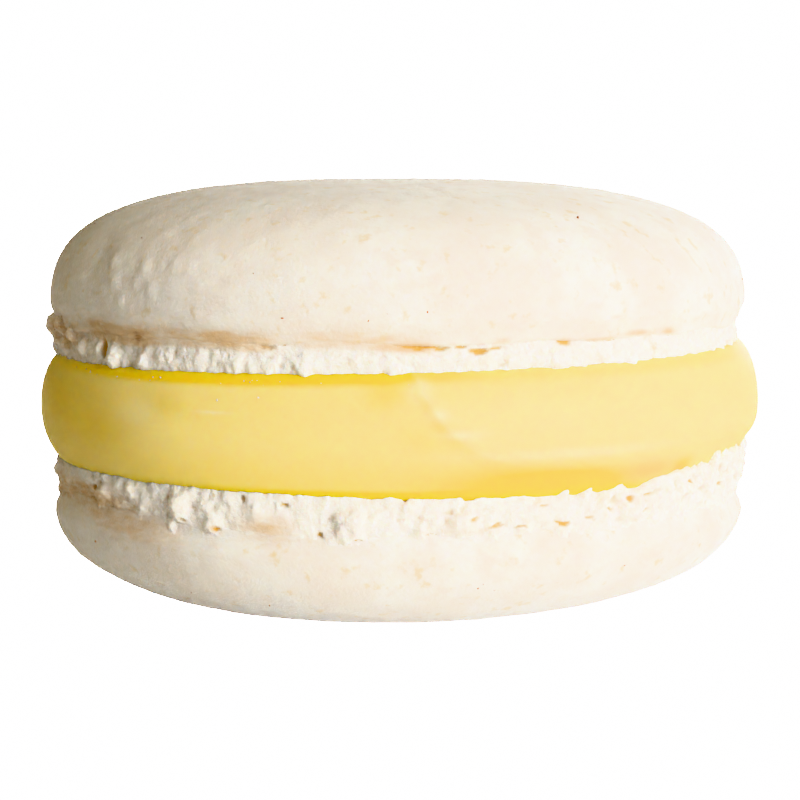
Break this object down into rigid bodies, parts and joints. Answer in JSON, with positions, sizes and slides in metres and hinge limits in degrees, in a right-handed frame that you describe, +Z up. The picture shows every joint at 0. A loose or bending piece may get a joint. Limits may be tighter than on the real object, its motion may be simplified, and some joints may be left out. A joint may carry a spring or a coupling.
{
  "type": "french macaron",
  "caption": "Round filled macaron: domed almond meringue shells with ragged frothy feet, holding a thick bulging layer of lemon cream.",
  "frame": {"origin": "on the table, under the middle of the macaron's bounding box", "axes": "+Z up through the crown of the upper shell, +X to the right and -Y to the front as the macaron is looked at"},
  "size_m": [0.0468, 0.0467, 0.0272],
  "materials": {
    "meringue": "matte",
    "lemon_cream": "satin"
  },
  "bodies": {
    "root": {"top_shell": "meringue", "filling": "lemon_cream", "bottom_shell": "meringue"}
  },
  "joints": []
}
